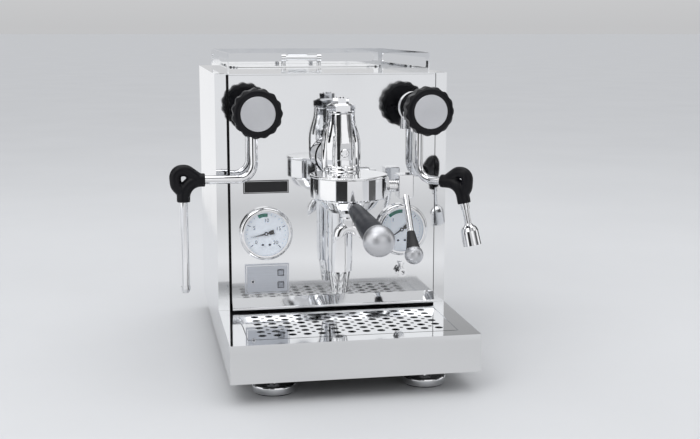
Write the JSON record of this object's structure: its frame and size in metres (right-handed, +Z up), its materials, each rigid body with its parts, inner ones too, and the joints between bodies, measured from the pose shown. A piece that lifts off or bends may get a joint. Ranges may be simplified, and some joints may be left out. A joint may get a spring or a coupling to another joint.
{
  "type": "espresso machine",
  "caption": "Free-standing espresso machine with a lever brew group, portafilter, steam and hot water wands, gauges, drip tray, water tank and cup rail.",
  "frame": {"origin": "midway between the four feet, on the surface the machine stands on", "axes": "+Z up, +X to the right and +Y to the back when seen from the front; the front panel and handles face -Y"},
  "size_m": [0.3577, 0.5933, 0.3745],
  "materials": {
    "polished_steel": "mirror polished stainless steel",
    "frame_steel": "dark powder coat",
    "chrome": "polished",
    "satin_aluminium": "satin",
    "black_rubber": "semi-gloss",
    "grip_grey": "soft satin",
    "clear_glass": "clear",
    "dial_white": "matt",
    "needle_black": "matt",
    "tank_plastic": "frosted",
    "boiler_copper": "satin copper",
    "brass": "satin",
    "display_grey": "fine brushed",
    "badge_black": "gloss",
    "black_plastic": "fine grain",
    "motor_grey": "matt paint",
    "button_grey": "satin"
  },
  "bodies": {
    "machine": {"chassis": "frame_steel", "casing": "polished_steel", "front_panel": "polished_steel", "top_panel": "polished_steel", "cup_rail": "polished_steel", "feet": "chrome", "foot_pads": "black_rubber", "boiler": "boiler_copper", "heater": "brass", "boiler_fittings": "brass", "heating_pipes": "boiler_copper", "pump_unit": "motor_grey", "control_box": "black_plastic", "power_inlet": "black_plastic", "group_body": "chrome", "group_bell": "chrome", "group_gasket": "black_rubber", "shower_screen": "polished_steel", "group_top_nut": "chrome", "group_screws": "chrome", "lower_chamber": "chrome", "drain_nozzle": "chrome", "cam_nut": "chrome", "valve_bodies": "chrome", "gauge_cases": "chrome", "gauge_dials": "dial_white", "gauge_glasses": "clear_glass", "display_plate": "display_grey", "badge_plate": "badge_black", "drain_spigot": "chrome"},
    "drip_tray": {"drip_tray": "polished_steel"},
    "drip_grate": {"drip_grate": "polished_steel"},
    "water_tank": {"water_tank": "tank_plastic"},
    "tank_lid": {"tank_lid": "polished_steel"},
    "mains_switch": {"mains_switch": "black_plastic"},
    "brew_lever": {"cam_shaft": "chrome", "lever_arm": "chrome", "lever_collar": "black_plastic", "lever_ball": "satin_aluminium"},
    "portafilter": {"portafilter": "chrome", "filter_basket": "polished_steel", "spout": "chrome", "handle_grip": "grip_grey", "handle_ball": "satin_aluminium"},
    "steam_knob": {"steam_knob": "black_rubber", "steam_knob_disc": "satin_aluminium"},
    "water_knob": {"water_knob": "black_rubber", "water_knob_disc": "satin_aluminium"},
    "steam_ball": {"steam_ball": "chrome"},
    "steam_wand": {"steam_pipe": "chrome", "steam_grip": "black_rubber", "steam_tip": "chrome"},
    "water_ball": {"water_ball": "chrome"},
    "water_wand": {"water_pipe": "chrome", "water_grip": "black_rubber", "water_nozzle": "chrome"},
    "boiler_needle": {"boiler_needle": "needle_black"},
    "pump_needle": {"pump_needle": "needle_black"},
    "button_upper": {"button_upper": "button_grey"},
    "button_lower": {"button_lower": "button_grey"}
  },
  "joints": [
    {"name": "drip_tray_slide", "type": "slide", "parent": "machine", "child": "drip_tray", "axis": [0, -1, 0], "range_m": [0, 0.17]},
    {"name": "drip_grate_lift", "type": "slide", "parent": "drip_tray", "child": "drip_grate", "axis": [0, 0, 1], "range_m": [0, 0.02]},
    {"name": "tank_lift", "type": "slide", "parent": "machine", "child": "water_tank", "axis": [0, 0, 1], "range_m": [0, 0.2]},
    {"name": "tank_lid_lift", "type": "slide", "parent": "water_tank", "child": "tank_lid", "axis": [0, 0, 1], "range_m": [0, 0.08]},
    {"name": "mains_switch_rock", "type": "hinge", "parent": "machine", "child": "mains_switch", "pos_m": [0.08, 0.2215, 0.086], "axis": [-1, 0, 0], "range_deg": [0, 10]},
    {"name": "brew_lever_turn", "type": "hinge", "parent": "machine", "child": "brew_lever", "pos_m": [0.069, -0.1205, 0.2205], "axis": [-1, 0, 0], "range_deg": [0, 80]},
    {"name": "portafilter_turn", "type": "hinge", "parent": "machine", "child": "portafilter", "pos_m": [0, -0.1805, 0.2315], "axis": [0, 0, -1], "range_deg": [0, 60]},
    {"name": "steam_knob_turn", "type": "hinge", "parent": "machine", "child": "steam_knob", "pos_m": [-0.0985, -0.1635, 0.3099], "axis": [0, -1, 0], "range_deg": [0, 540]},
    {"name": "water_knob_turn", "type": "hinge", "parent": "machine", "child": "water_knob", "pos_m": [0.0985, -0.1635, 0.3099], "axis": [0, -1, 0], "range_deg": [0, 540]},
    {"name": "steam_wand_swivel", "type": "hinge", "parent": "machine", "child": "steam_ball", "pos_m": [-0.0985, -0.1075, 0.2915], "axis": [0, 0, 1], "range_deg": [-10, 75]},
    {"name": "steam_wand_tilt", "type": "hinge", "parent": "steam_ball", "child": "steam_wand", "pos_m": [-0.0985, -0.1075, 0.2915], "axis": [0, 1, 0], "range_deg": [-3, 10]},
    {"name": "water_wand_swivel", "type": "hinge", "parent": "machine", "child": "water_ball", "pos_m": [0.0985, -0.1075, 0.2915], "axis": [0, 0, 1], "range_deg": [-30, 50]},
    {"name": "water_wand_tilt", "type": "hinge", "parent": "water_ball", "child": "water_wand", "pos_m": [0.0985, -0.1075, 0.2915], "axis": [-0.6947, -0.7193, 0], "range_deg": [-3, 10]},
    {"name": "pump_needle_swing", "type": "hinge", "parent": "machine", "child": "pump_needle", "pos_m": [-0.0827, -0.0899, 0.162], "axis": [0, 1, 0], "range_deg": [-27, 238]},
    {"name": "boiler_needle_swing", "type": "hinge", "parent": "machine", "child": "boiler_needle", "pos_m": [0.0827, -0.0899, 0.162], "axis": [0, 1, 0], "range_deg": [-6, 259]},
    {"name": "button_upper_press", "type": "slide", "parent": "machine", "child": "button_upper", "axis": [0, 1, 0], "range_m": [0, 0.0009], "stiffness_N_per_m": 300, "springref_m": -0.001},
    {"name": "button_lower_press", "type": "slide", "parent": "machine", "child": "button_lower", "axis": [0, 1, 0], "range_m": [0, 0.0009], "stiffness_N_per_m": 300, "springref_m": -0.001}
  ]
}
